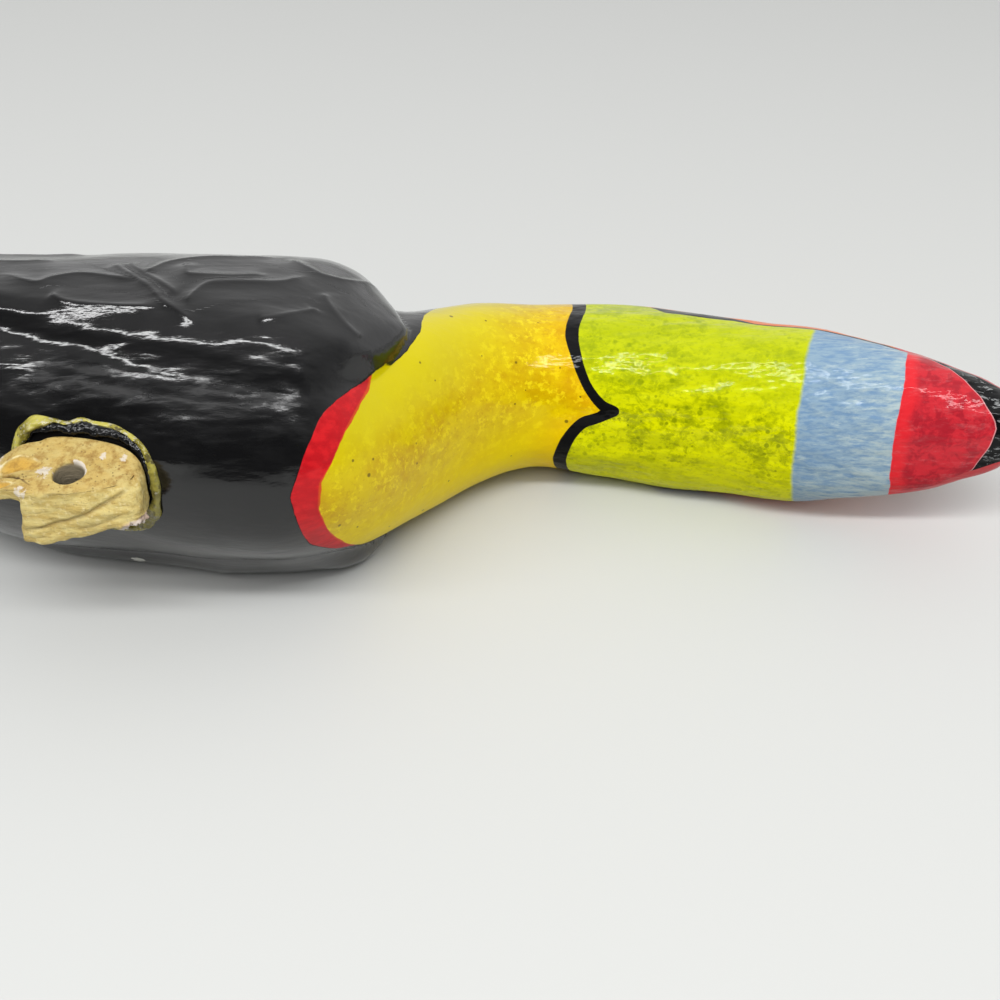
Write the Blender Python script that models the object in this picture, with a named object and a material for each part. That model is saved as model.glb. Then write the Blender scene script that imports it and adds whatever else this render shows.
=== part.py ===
"""A papier-mache toucan that lies on its left side, with the modelled foot that grips a perch.

Metres, +Z up, +X towards the tip of the beak. The bird's belly faces -Y and its back +Y.
The bird is one skin, lofted through cross-sections that are ellipses with a deeper or a
shallower belly side, and its folded wings are raised out of that skin. The foot is a lump
of paste with a bore through it for the perch, and a bead of glue runs round it.
"""

import bpy
import numpy as np

MM = 0.001

# Cross-sections from tail to beak, in millimetres and degrees:
# along, across, height of the centre, half width, belly depth, back depth, turn of the belly upwards
STATIONS = (
    (-300, 33, 49, 3, 2, 2, 6),
    (-296, 33, 49, 11, 3.6, 3.6, 6),
    (-285, 33, 49, 16.5, 4.8, 4.8, 6),
    (-262, 32, 49, 19, 5.8, 6, 6),
    (-235, 30, 48.5, 19.5, 8, 8, 6),
    (-210, 26, 48, 22, 13.5, 13, 6),
    (-185, 19, 47, 27, 21, 21, 6),
    (-160, 12, 44.6, 34.2, 30, 30, 6),
    (-135, 7, 43, 37.6, 36, 38, 6),
    (-105, 5, 42.8, 38.1, 39.5, 43.5, 6),
    (-73, 3, 42.4, 38.6, 44, 46, 6),
    (-52, 4.5, 41.5, 36.9, 44.5, 44.5, 6),
    (-40, 8, 38.2, 33.5, 41.5, 41.5, 7.5),
    (-30, 13.5, 34.8, 30.3, 37, 37, 9),
    (-20, 21, 32.6, 29.3, 31, 33, 12),
    (-8, 31.5, 30.3, 27.2, 27, 28, 15),
    (10, 38.5, 28.3, 25.2, 23, 24, 20),
    (30, 38, 26.8, 26.4, 23, 24, 23),
    (60, 32, 27.3, 27.2, 22, 24, 24),
    (90, 22.4, 29.5, 25.6, 20, 21, 25),
    (115, 15, 32.2, 21.6, 16.5, 17, 27),
    (135, 8.5, 35.3, 15.1, 12, 12.5, 28),
    (146, 4.5, 36.8, 9.2, 7.8, 8.4, 28),
    (152, 2, 38.2, 3.6, 3.2, 3.4, 28),
    (153.4, 1.5, 38.5, 0.8, 0.8, 0.8, 28),
)
SUNK = 0.8  # how far the form is let into the table, which leaves two flats under it
UNDERSIDE_FULLNESS = 0.02  # share by which the underside is deeper, so that the bird rests steadily
UNDERSIDE_POWER = 4  # a higher one keeps the fullness nearer to the very bottom

# Folded wing: edges as angles round the section from the belly, and the height it is raised
WING_BELLY_EDGE = (
    (-225, 108), (-205, 92), (-170, 76), (-140, 67), (-112, 60), (-84, 55), (-60, 51), (-26, 49),
)
WING_BACK_EDGE = ((-225, 122), (-200, 140), (-150, 152), (-60, 152), (-40, 146), (-26, 128))
WING_FRONT = ((40, -44), (50, -34), (60, -28), (70, -25), (80, -26.5), (100, -30.5), (120, -35), (150, -48))
WING_HEIGHT = (
    (-226, 0), (-216, 1.6), (-180, 2.8), (-105, 3.4), (-70, 3.8), (-55, 4.4), (-40, 6.2), (-28, 6.6),
)
WING_EDGE_DEGREES = ((-225, 9), (-150, 14), (-60, 14), (-40, 9), (-26, 7))
EDGE_CENTRE = 7  # the edge's rise is centred half of this above WING_BELLY_EDGE
WING_BACK_FADE_DEGREES = 12
SHOULDER_ROUND = 15
LEFT_SET_BACK = 8  # how much further back the left wing's shoulder lies than the right one's

# Foot, in its own frame: along the bird, out from the middle of the belly, and sideways
FOOT_CENTRE = (5, 43.1)  # across and height of the body's middle behind the foot
FOOT_TURN = 6  # degrees, with the belly
BORE_ALONG = -106
BORE_OUT = 48.6
BORE_RADIUS = 4
FOOT_TAIL_END = -117.3
FOOT_FRONT_END = -88.6
FOOT_BASE = 38
FOOT_SOLE = 55
# sideways reach above the middle, by how far out, and below it, by how far along
FOOT_UPPER_SIDE = ((38, 15.2), (40, 14.6), (42, 13.2), (45, 11.3), (49, 10), (53, 9), (55, 8.4))
FOOT_LOWER_SIDE = ((-119, 7.4), (-113.8, 7), (-107.3, 6), (-100.7, 4.3), (-95, 2.5), (-88, 1.6))
FOOT_LOWER_SPREAD = 3.5  # how much more the lower side reaches at the belly than at the sole
LOWER_SET_BACK = 0.22  # towards the tail, for each unit below the middle
FOOT_SQUARENESS = 4
# powers under 1 flatten the lump's two sides, its wall round the bore, and its outer wall at sole and front
SIDE_FLATNESS = 0.36
BORE_WALL_FLATNESS = 0.3
OUTER_WALL_FLATNESS = (0.35, 0.55)
TOE_REACH = 10
TOE_LENGTH = 5  # over which the toes grow out of the lump
TOE_INNER_SIDE = 2.6
TOE_RANGE = (40, 54.6)  # out
TOE_ROUND = 2
TOE_DROOP = 0.25  # share of the upper side lost at the toes' tips
BASE_DEPTH = 7  # of the lump's foot that follows the belly
GAP = 0.36  # between the belly's skin and what is stuck on it

# Dried glue round the foot
BEAD_ALONG = (-123.6, -87)
BEAD_SIDES = (-13.6, 17)
BEAD_SQUARENESS = 3.4
BEAD_WIDTH = 2.6
BEAD_HEIGHT = 1.7

# Steps round each closed direction of the three surfaces, and along the bird
BIRD_RINGS = 86
BIRD_SIDES = 40
FOOT_ROUND_BORE = 44
FOOT_ROUND_WALL = 22
BEAD_ROUND_FOOT = 48
BEAD_ROUND_WALL = 8

# Where the bird's rings lie closer together: place, spread and how much closer
FINE_STEPS = 4000
CLOSER_RINGS = ((-298, 5, 2.5), (-32, 11, 2.2), (150, 7, 2))


def through(x, knots):
    """Cubic through the knots, with the slope at each knot taken across its neighbours."""
    at, value = np.array(knots, float).T
    slope = np.gradient(value, at)
    x = np.clip(x, at[0], at[-1])
    i = np.clip(np.searchsorted(at, x) - 1, 0, len(at) - 2)
    step = at[i + 1] - at[i]
    t = (x - at[i]) / step
    ends = (1 + 2 * t) * (1 - t) ** 2 * value[i] + t * t * (3 - 2 * t) * value[i + 1]
    return ends + t * (1 - t) * step * ((1 - t) * slope[i] - t * slope[i + 1])


def eased(t):
    """0 below 0, 1 above 1, and a smooth rise between."""
    t = np.clip(t, 0, 1)
    return t * t * (3 - 2 * t)


def section(x):
    """Across, height, half width, belly depth, back depth and turn (radians) of the section at x."""
    table = np.array(STATIONS, float)
    across, height, width, belly, back, turn = [through(x, table[:, (0, k)]) for k in range(1, 7)]
    return across, height, width, belly, back, np.radians(turn)


def wing_height(x, angle):
    """How far the folded wing stands out of the body."""
    side = np.abs(np.degrees(angle))
    edge = np.interp(x, *np.transpose(WING_EDGE_DEGREES))
    from_belly = eased((side - np.interp(x, *np.transpose(WING_BELLY_EDGE)) + (edge - EDGE_CENTRE) / 2) / edge)
    from_back = eased((np.interp(x, *np.transpose(WING_BACK_EDGE)) - side) / WING_BACK_FADE_DEGREES)
    front = through(side, WING_FRONT) - LEFT_SET_BACK * (angle < 0)
    inside = np.clip((front - x) / SHOULDER_ROUND, 0, 1)
    shoulder = np.sqrt(1 - (1 - inside) ** 2)
    return np.interp(x, *np.transpose(WING_HEIGHT)) * from_belly * from_back * shoulder


def bird_points(x, angle):
    """The skin: an ellipse at each x, pushed out along its own normal where the wing lies."""
    across, height, width, belly, back, turn = section(x)
    depth = belly + (back - belly) * (1 - np.cos(angle)) / 2
    fuller = 1 + UNDERSIDE_FULLNESS * np.maximum(-np.sin(angle), 0) ** UNDERSIDE_POWER
    out = depth * np.cos(angle)
    side = width * np.sin(angle) * fuller
    normal_out = np.cos(angle) / depth
    normal_side = np.sin(angle) / width
    push = wing_height(x, angle) / np.hypot(normal_out, normal_side)
    out = out + push * normal_out
    side = side + push * normal_side
    y = across - np.cos(turn) * out + np.sin(turn) * side
    z = height + np.sin(turn) * out + np.cos(turn) * side
    return np.stack([x + 0 * y, y, np.maximum(z - SUNK, 0)], axis=-1)


def closed_grid(name, points, wrap_rows):
    """Object from a grid whose columns wrap round; its rows wrap too, or end in a point at each end."""
    rows, columns = points.shape[:2]
    vertices = points.reshape(-1, 3)
    index = np.arange(rows * columns).reshape(rows, columns)
    upper = index if wrap_rows else index[:-1]
    lower = np.roll(index, -1, axis=0) if wrap_rows else index[1:]
    quads = np.stack([upper, lower, np.roll(lower, -1, 1), np.roll(upper, -1, 1)], axis=-1)
    faces = quads.reshape(-1, 4).tolist()
    if not wrap_rows:
        first, last = len(vertices), len(vertices) + 1
        vertices = np.vstack([vertices, points[0].mean(0), points[-1].mean(0)])
        faces += [(a, b, first) for a, b in zip(index[0], np.roll(index[0], -1))]
        faces += [(b, a, last) for a, b in zip(index[-1], np.roll(index[-1], -1))]
    mesh = bpy.data.meshes.new(name)
    mesh.from_pydata((vertices * MM).tolist(), [], faces)
    mesh.polygons.foreach_set("use_smooth", [True] * len(mesh.polygons))
    obj = bpy.data.objects.new(name, mesh)
    bpy.context.scene.collection.objects.link(obj)
    return obj


def belly_out(x, side):
    """How far out of the foot's own frame the belly's skin lies, at x and so far to one side."""
    across, height, width, belly, _, _ = section(x)
    y = across - FOOT_CENTRE[0]
    z = height - FOOT_CENTRE[1]
    turn = np.radians(FOOT_TURN)
    centre_out = -np.cos(turn) * y + np.sin(turn) * z
    centre_side = np.sin(turn) * y + np.cos(turn) * z
    return centre_out + belly * np.sqrt(1 - ((side - centre_side) / width) ** 2)


def from_foot_frame(x, out, side):
    """Points of the foot's own frame in the bird's."""
    turn = np.radians(FOOT_TURN)
    y = FOOT_CENTRE[0] - np.cos(turn) * out + np.sin(turn) * side
    z = FOOT_CENTRE[1] + np.sin(turn) * out + np.cos(turn) * side
    return np.stack([x, y, z - SUNK], axis=-1)


def rounded_rectangle(c, s, half_length, half_width, squareness):
    """Distance from its middle to a superellipse, in the direction with this cosine and sine."""
    return (np.abs(c / half_length) ** squareness + np.abs(s / half_width) ** squareness) ** (-1 / squareness)


def foot_points(around, across):
    """A ring of paste round the bore: around is the angle about the bore, across goes round its wall."""
    c, s = np.cos(around), np.sin(around)
    # distance from the bore to the lump's D-shaped outline, which has four half sizes
    ahead = np.where(c > 0, FOOT_FRONT_END - BORE_ALONG, BORE_ALONG - FOOT_TAIL_END)
    outward = np.where(s > 0, FOOT_SOLE - BORE_OUT, BORE_OUT - FOOT_BASE)
    reach = rounded_rectangle(c, s, ahead, outward, FOOT_SQUARENESS)
    middle = (reach + BORE_RADIUS) / 2
    half = (reach - BORE_RADIUS) / 2
    ca, sa = np.cos(across), np.sin(across)
    at_sole, at_front = OUTER_WALL_FLATNESS
    outer = at_sole + (at_front - at_sole) * np.maximum(c, 0) ** 2
    bulge = np.sign(ca) * np.abs(ca) ** np.where(ca > 0, outer, BORE_WALL_FLATNESS)
    radial = middle + half * bulge
    x = BORE_ALONG + radial * c
    out = BORE_OUT + radial * s
    upper = through(out, FOOT_UPPER_SIDE)
    spread = FOOT_LOWER_SPREAD * (FOOT_SOLE - out) / (FOOT_SOLE - FOOT_BASE)
    lower = through(x, FOOT_LOWER_SIDE) + spread
    side = np.where(sa > 0, upper, lower) * np.sign(sa) * np.abs(sa) ** SIDE_FLATNESS
    x = x + LOWER_SET_BACK * np.minimum(side, 0) * (1 + bulge) / 2
    # the toes of the upper foot point to the tail and droop
    toes = eased((FOOT_TAIL_END + TOE_LENGTH - x) / TOE_LENGTH)
    toes = toes * eased((side - TOE_INNER_SIDE) / TOE_ROUND)
    toes = toes * eased((out - TOE_RANGE[0]) / TOE_ROUND) * eased((TOE_RANGE[1] - out) / TOE_ROUND)
    x = x - TOE_REACH * toes
    side = side * (1 - TOE_DROOP * eased((FOOT_TAIL_END - x) / TOE_REACH) * (side > 0))
    # the base follows the belly
    near = eased((FOOT_BASE + BASE_DEPTH - out) / BASE_DEPTH)
    out = out + near * (belly_out(x, side) + GAP - FOOT_BASE)
    return from_foot_frame(x, out, side)


def bead_points(around, across):
    """A low bead on the belly, in a rounded rectangle round the foot."""
    c, s = np.cos(around), np.sin(around)
    half_length = (BEAD_ALONG[1] - BEAD_ALONG[0]) / 2
    half_width = (BEAD_SIDES[1] - BEAD_SIDES[0]) / 2
    reach = rounded_rectangle(c, s, half_length, half_width, BEAD_SQUARENESS)
    radial = reach + BEAD_WIDTH / 2 * np.cos(across)
    x = sum(BEAD_ALONG) / 2 + radial * c
    side = sum(BEAD_SIDES) / 2 + radial * s
    x = x + LOWER_SET_BACK * np.minimum(side, 0)
    out = belly_out(x, side) + GAP + BEAD_HEIGHT / 2 * (1 + np.sin(across))
    return from_foot_frame(x, out, side)


def paint(obj, name, colour, roughness):
    """Gives the object a plain material of its own."""
    material = bpy.data.materials.new(name)
    material.use_nodes = True
    shader = material.node_tree.nodes["Principled BSDF"]
    shader.inputs["Base Color"].default_value = (*colour, 1)
    shader.inputs["Roughness"].default_value = roughness
    obj.data.materials.append(material)


def ring_places():
    """Places of the bird's rings: evenly spaced, but closer together over the shoulder and at both tips."""
    x = np.linspace(STATIONS[0][0], STATIONS[-1][0], FINE_STEPS)
    closeness = 1 + sum(more * np.exp(-((x - place) / spread) ** 2) for place, spread, more in CLOSER_RINGS)
    passed = np.cumsum(closeness)
    return np.interp(np.linspace(passed[0], passed[-1], BIRD_RINGS), passed, x)


def turns(count):
    """Angles of one whole turn, from half a turn back."""
    return np.linspace(-np.pi, np.pi, count, endpoint=False)


for old in list(bpy.data.objects):
    bpy.data.objects.remove(old)

skin = bird_points(ring_places()[:, None], turns(BIRD_SIDES)[None, :])
lump = foot_points(turns(FOOT_ROUND_BORE)[:, None], -turns(FOOT_ROUND_WALL)[None, :])
ring = bead_points(turns(BEAD_ROUND_FOOT)[:, None], turns(BEAD_ROUND_WALL)[None, :])

# the origin is the middle of the whole box's underside
everything = np.vstack([grid.reshape(-1, 3) for grid in (skin, lump, ring)])
low, high = everything.min(axis=0), everything.max(axis=0)
origin = np.array([(low[0] + high[0]) / 2, (low[1] + high[1]) / 2, low[2]])

bird = closed_grid("bird", skin - origin, False)
foot = closed_grid("foot", lump - origin, True)
bead = closed_grid("glue_bead", ring - origin, True)
paint(bird, "painted_papier_mache", (0.02, 0.02, 0.022), 0.12)
paint(foot, "modelling_paste", (0.58, 0.44, 0.2), 0.7)
paint(bead, "dried_glue", (0.42, 0.36, 0.1), 0.35)
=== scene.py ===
import math

import bpy
import numpy as np
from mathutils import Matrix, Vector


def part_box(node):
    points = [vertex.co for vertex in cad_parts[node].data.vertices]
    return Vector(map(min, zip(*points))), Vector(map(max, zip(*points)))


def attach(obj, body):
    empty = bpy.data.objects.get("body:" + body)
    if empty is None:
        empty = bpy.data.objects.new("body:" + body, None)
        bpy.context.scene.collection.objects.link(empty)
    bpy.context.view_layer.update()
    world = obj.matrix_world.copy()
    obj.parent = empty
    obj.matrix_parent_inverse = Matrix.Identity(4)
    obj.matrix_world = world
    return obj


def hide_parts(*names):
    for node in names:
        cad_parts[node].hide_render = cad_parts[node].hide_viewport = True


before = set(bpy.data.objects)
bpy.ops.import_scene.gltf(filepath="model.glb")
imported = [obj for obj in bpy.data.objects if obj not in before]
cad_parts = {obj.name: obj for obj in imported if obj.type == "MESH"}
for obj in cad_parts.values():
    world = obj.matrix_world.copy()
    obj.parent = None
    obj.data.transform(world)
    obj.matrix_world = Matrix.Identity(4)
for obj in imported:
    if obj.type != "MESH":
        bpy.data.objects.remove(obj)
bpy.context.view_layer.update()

mm = 0.001


def through(at, knots):
    # cubic through the knots (place, value): each knot's slope is the one across its neighbours
    places, values = np.array(knots, float).T
    slopes = np.gradient(values, places)
    at = np.clip(at, places[0], places[-1])
    i = np.clip(np.searchsorted(places, at) - 1, 0, len(places) - 2)
    step = places[i + 1] - places[i]
    t = (at - places[i]) / step
    ends = (1 + 2 * t) * (1 - t) ** 2 * values[i] + t * t * (3 - 2 * t) * values[i + 1]
    return ends + t * (1 - t) * step * ((1 - t) * slopes[i] - t * slopes[i + 1])


def straight(at, knots):
    # straight lines between the knots (place, value)
    return np.interp(at, *np.transpose(knots))


def eased(t):
    # 3t^2 - 2t^3 between 0 and 1, level outside
    t = np.clip(t, 0, 1)
    return t * t * (3 - 2 * t)


def bell(distance, width):
    # exp(-(distance / width)^2)
    return np.exp(-(distance / width) ** 2)


def ripples(points, size, seed, stretch=(1, 1, 1), waveCount=36):
    # sum of cos(k.p + phase) over random directions, with waves about size long, scaled to a spread of 1
    rng = np.random.default_rng(seed)
    directions = rng.normal(size=(3, waveCount))
    directions /= np.linalg.norm(directions, axis=0)
    waves = directions * 2 * np.pi / (size * rng.uniform(0.65, 1.5, waveCount))
    phases = rng.uniform(0, 2 * np.pi, waveCount)
    return np.cos((points / np.array(stretch)) @ waves + phases).sum(-1) * math.sqrt(2 / waveCount)


def lineDistance(across, down, line, samples=70):
    # signed distance in the (across, down) plane to a smooth line through its points,
    # and how far along the line that is, from 0 to 1
    places = np.linspace(0, 1, len(line))
    share = np.linspace(0, 1, samples)
    lineAcross = through(share, list(zip(places, [p[0] for p in line])))
    lineDown = through(share, list(zip(places, [p[1] for p in line])))
    aheadAcross, aheadDown = np.gradient(lineAcross), np.gradient(lineDown)
    nearest = np.full(across.shape, 1e9)
    along, sign = np.zeros(across.shape), np.ones(across.shape)
    for u, v, s, du, dv in zip(lineAcross, lineDown, share, aheadAcross, aheadDown):
        gap = (across - u) ** 2 + (down - v) ** 2
        closer = gap < nearest
        nearest = np.where(closer, gap, nearest)
        along = np.where(closer, s, along)
        sign = np.where(closer, np.sign((across - u) * dv - (down - v) * du), sign)
    return sign * np.sqrt(nearest), along


def fadedEnds(along, atStart, atEnd):
    # 1 along the middle of a line, eased to 0 over these shares of it at its ends
    return eased(along / atStart) * eased((1 - along) / atEnd)


def spaced(start, end, count, closer):
    # count places from start to end, denser where closer lists (place, spread, how much more)
    fine = np.linspace(start, end, 6000)
    density = 1 + sum(more * bell(fine - place, spread) for place, spread, more in closer)
    passed = np.cumsum(density)
    return np.interp(np.linspace(passed[0], passed[-1], count), passed, fine)


def unrolled(line, radius):
    # (along, degrees round) of each point to (along, millimetres round) on a body of this radius
    return [(along, math.radians(degrees) * radius) for along, degrees in line]


def outwardNormals(points):
    # cross product of the grid's two directions, scaled to 1; differences are one-sided at its borders
    down, over = np.gradient(points, axis=0), np.gradient(points, axis=1)
    normals = np.cross(down, over)
    return normals / (np.linalg.norm(normals, axis=-1, keepdims=True) + 1e-9)


def gridPiece(name, points, wrapRows):
    # mesh of a grid whose columns wrap round; its rows wrap too, or end in a pole at each end
    rows, columns = points.shape[:2]
    vertices = points.reshape(-1, 3)
    index = np.arange(rows * columns).reshape(rows, columns)
    upper = index if wrapRows else index[:-1]
    lower = np.roll(index, -1, axis=0) if wrapRows else index[1:]
    quads = np.stack([upper, lower, np.roll(lower, -1, 1), np.roll(upper, -1, 1)], axis=-1).reshape(-1, 4)
    corners, sizes = quads.ravel(), np.full(len(quads), 4)
    if not wrapRows:
        first, last = len(vertices), len(vertices) + 1
        vertices = np.vstack([vertices, points[0].mean(0), points[-1].mean(0)])
        head = np.stack([index[0], np.roll(index[0], -1), np.full(columns, first)], axis=-1)
        tail = np.stack([np.roll(index[-1], -1), index[-1], np.full(columns, last)], axis=-1)
        corners = np.concatenate([corners, head.ravel(), tail.ravel()])
        sizes = np.concatenate([sizes, np.full(2 * columns, 3)])
    mesh = bpy.data.meshes.new(name)
    mesh.vertices.add(len(vertices))
    mesh.vertices.foreach_set("co", (vertices * mm).astype(np.float32).ravel())
    mesh.loops.add(len(corners))
    mesh.loops.foreach_set("vertex_index", corners.astype(np.int32))
    mesh.polygons.add(len(sizes))
    mesh.polygons.foreach_set("loop_start", np.concatenate([[0], np.cumsum(sizes)[:-1]]).astype(np.int32))
    mesh.polygons.foreach_set("use_smooth", np.ones(len(sizes), bool))
    mesh.update(calc_edges=True)
    mesh.validate()
    piece = bpy.data.objects.new(name, mesh)
    bpy.context.scene.collection.objects.link(piece)
    return piece


def storeValues(piece, **layers):
    # one number for each grid point, and for each pole, if the piece has them, the mean of its ring
    for name, values in layers.items():
        flat = values.ravel()
        if len(piece.data.vertices) > len(flat):
            flat = np.concatenate([flat, [values[0].mean(), values[-1].mean()]])
        layer = piece.data.attributes.new(name, "FLOAT", "POINT")
        layer.data.foreach_set("value", flat.astype(np.float32))


def rgb(red, green, blue):
    # sRGB 0..255 to the linear colour that sockets take
    c = np.array([red, green, blue]) / 255
    c = np.where(c <= 0.04045, c / 12.92, ((c + 0.055) / 1.055) ** 2.4)
    return (*c.tolist(), 1.0)


class Finish:
    # a material and short ways to add its nodes; a number, a colour or a socket may stand for any input
    def __init__(self, name):
        self.material = bpy.data.materials.new(name)
        self.material.use_nodes = True
        self.nodes, self.links = self.material.node_tree.nodes, self.material.node_tree.links
        self.shader = self.nodes["Principled BSDF"]

    def put(self, socket, value):
        if isinstance(value, bpy.types.NodeSocket):
            self.links.new(value, socket)
        else:
            socket.default_value = value

    def surface(self, **values):
        for name, value in values.items():
            self.put(self.shader.inputs[name.replace("_", " ")], value)

    def sum(self, operation, first, second=0.0):
        node = self.nodes.new("ShaderNodeMath")
        node.operation = operation
        self.put(node.inputs[0], first)
        self.put(node.inputs[1], second)
        return node.outputs[0]

    def times(self, *factors):
        product = factors[0]
        for factor in factors[1:]:
            product = self.sum("MULTIPLY", product, factor)
        return product

    def step(self, value, low, high, start=0.0, end=1.0):
        node = self.nodes.new("ShaderNodeMapRange")
        node.interpolation_type = "SMOOTHSTEP"
        self.put(node.inputs["Value"], value)
        for name, amount in (("From Min", low), ("From Max", high), ("To Min", start), ("To Max", end)):
            self.put(node.inputs[name], amount)
        return node.outputs["Result"]

    def mix(self, factor, first, second):
        node = self.nodes.new("ShaderNodeMix")
        node.data_type = "RGBA"
        self.put(node.inputs["Factor"], factor)
        self.put(node.inputs["A"], first)
        self.put(node.inputs["B"], second)
        return node.outputs["Result"]

    def over(self, base, paint, pattern, low, high, amount):
        # the paint laid over the base by this amount, where the pattern rises from low to high
        return self.mix(self.times(self.step(pattern, low, high), amount), base, paint)

    def value(self, name):
        node = self.nodes.new("ShaderNodeAttribute")
        node.attribute_name = name
        return node.outputs["Fac"]

    def place(self, *scale):
        coordinates = self.nodes.new("ShaderNodeTexCoord")
        mapping = self.nodes.new("ShaderNodeMapping")
        mapping.inputs["Scale"].default_value = scale
        self.links.new(coordinates.outputs["Object"], mapping.inputs["Vector"])
        return mapping.outputs["Vector"]

    def noise(self, where, scale, detail=2.0, roughness=0.5, distortion=0.0):
        node = self.nodes.new("ShaderNodeTexNoise")
        self.put(node.inputs["Vector"], where)
        self.put(node.inputs["Scale"], scale)
        self.put(node.inputs["Detail"], detail)
        self.put(node.inputs["Roughness"], roughness)
        self.put(node.inputs["Distortion"], distortion)
        return node.outputs["Fac"]

    def spots(self, where, scale, radius, share):
        # round spots, their radius given in cells, in this share of the cells, and a random number for each
        node = self.nodes.new("ShaderNodeTexVoronoi")
        self.put(node.inputs["Vector"], where)
        self.put(node.inputs["Scale"], scale)
        split = self.nodes.new("ShaderNodeSeparateColor")
        self.links.new(node.outputs["Color"], split.inputs[0])
        chosen = self.sum("LESS_THAN", split.outputs[0], share)
        size = self.step(split.outputs[1], 0, 1, radius * 0.4, radius)
        inside = self.step(self.sum("DIVIDE", node.outputs["Distance"], size), 1.0, 0.6)
        return self.times(inside, chosen), split.outputs[2]

    def bump(self, height, distance, normal=None):
        node = self.nodes.new("ShaderNodeBump")
        self.put(node.inputs["Height"], height)
        node.inputs["Distance"].default_value = distance
        if normal is not None:
            self.links.new(normal, node.inputs["Normal"])
        return node.outputs["Normal"]


# The bird's form, in millimetres and degrees: +X to the beak's tip, belly towards -Y, lying on its left side
birdForm = {
    # along, across, height of the centre, half width, belly depth, back depth, turn of the belly upwards
    "stations": [
        (-300, 33, 49, 3, 2, 2, 6), (-296, 33, 49, 11, 3.6, 3.6, 6),
        (-285, 33, 49, 16.5, 4.8, 4.8, 6), (-262, 32, 49, 19, 5.8, 6, 6),
        (-235, 30, 48.5, 19.5, 8, 8, 6), (-210, 26, 48, 22, 13.5, 13, 6),
        (-185, 19, 47, 27, 21, 21, 6), (-160, 12, 44.6, 34.2, 30, 30, 6),
        (-135, 7, 43, 37.6, 36, 38, 6), (-105, 5, 42.8, 38.1, 39.5, 43.5, 6),
        (-73, 3, 42.4, 38.6, 44, 46, 6), (-52, 4.5, 41.5, 36.9, 44.5, 44.5, 6),
        (-40, 8, 38.2, 33.5, 41.5, 41.5, 7.5), (-30, 13.5, 34.8, 30.3, 37, 37, 9),
        (-20, 21, 32.6, 29.3, 31, 33, 12), (-8, 31.5, 30.3, 27.2, 27, 28, 15),
        (10, 38.5, 28.3, 25.2, 23, 24, 20), (30, 38, 26.8, 26.4, 23, 24, 23),
        (60, 32, 27.3, 27.2, 22, 24, 24), (90, 22.4, 29.5, 25.6, 20, 21, 25),
        (115, 15, 32.2, 21.6, 16.5, 17, 27), (135, 8.5, 35.3, 15.1, 12, 12.5, 28),
        (146, 4.5, 36.8, 9.2, 7.8, 8.4, 28), (152, 2, 38.2, 3.6, 3.2, 3.4, 28),
        (153.4, 1.5, 38.5, 0.8, 0.8, 0.8, 28),
    ],
    "sunk": 0.8,  # the underside is flattened this much by the table
    "undersideFullness": 0.02,  # share by which the underside is deeper
    "undersidePower": 4,
    # the folded wing: (along, degrees) of its edges, (degrees, along) of its front, (along, height)
    "wingBellyEdge": [(-225, 108), (-205, 92), (-170, 76), (-140, 67), (-112, 60), (-84, 55), (-60, 51),
                      (-26, 49)],
    "wingBackEdge": [(-225, 122), (-200, 140), (-150, 152), (-60, 152), (-40, 146), (-26, 128)],
    "wingFront": [(40, -44), (50, -34), (60, -28), (70, -25), (80, -26.5), (100, -30.5), (120, -35),
                  (150, -48)],
    "wingHeight": [(-226, 0), (-216, 1.8), (-180, 3.6), (-105, 5), (-70, 5.2), (-55, 5.6), (-40, 7.4),
                   (-28, 7.8)],
    # in degrees round the body
    "wingEdgeWidth": [(-225, 9), (-150, 14), (-105, 17), (-75, 28), (-50, 28), (-38, 14), (-26, 8)],
    "wingEdgeShift": 3.5,  # degrees from the belly edge to the middle of its rise
    "wingBackFade": 12,
    "shoulderRound": 15,
    "leftSetBack": 8,  # the left shoulder lies this much further back
    "reliefStart": -296, "reliefRise": 16, "reliefEnd": 152, "reliefFall": 8,  # none at the two poles
    "rows": 440,
    "closerRows": [(-80, 45, 2.0), (40, 110, 0.6), (-32, 12, 1.0), (150, 8, 2), (-298, 5, 2.5)],
    "columns": 226,
    "closerColumns": [(80, 30, 2.5), (15, 50, 1.2), (-76, 16, 1.3)],
}


def section(x):
    # across, height, half width, belly depth, back depth and turn of the section at x
    table = np.array(birdForm["stations"], float)
    across, height, width, belly, back, turn = [through(x, table[:, (0, k)]) for k in range(1, 7)]
    return across, height, width, belly, back, np.radians(turn)


def wingRise(x, degrees):
    # height of the folded wing: an eased rise from its belly edge and from its back, times a round shoulder
    f, side = birdForm, np.abs(degrees)
    front = through(side, f["wingFront"]) - f["leftSetBack"] * (degrees < 0)
    width = straight(x, f["wingEdgeWidth"])
    fromBelly = eased((side - straight(x, f["wingBellyEdge"]) - f["wingEdgeShift"] + width / 2) / width)
    fromBack = eased((straight(x, f["wingBackEdge"]) - side) / f["wingBackFade"])
    inside = np.clip((front - x) / f["shoulderRound"], 0, 1)
    return straight(x, f["wingHeight"]) * fromBelly * fromBack * np.sqrt(1 - (1 - inside) ** 2)


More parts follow.
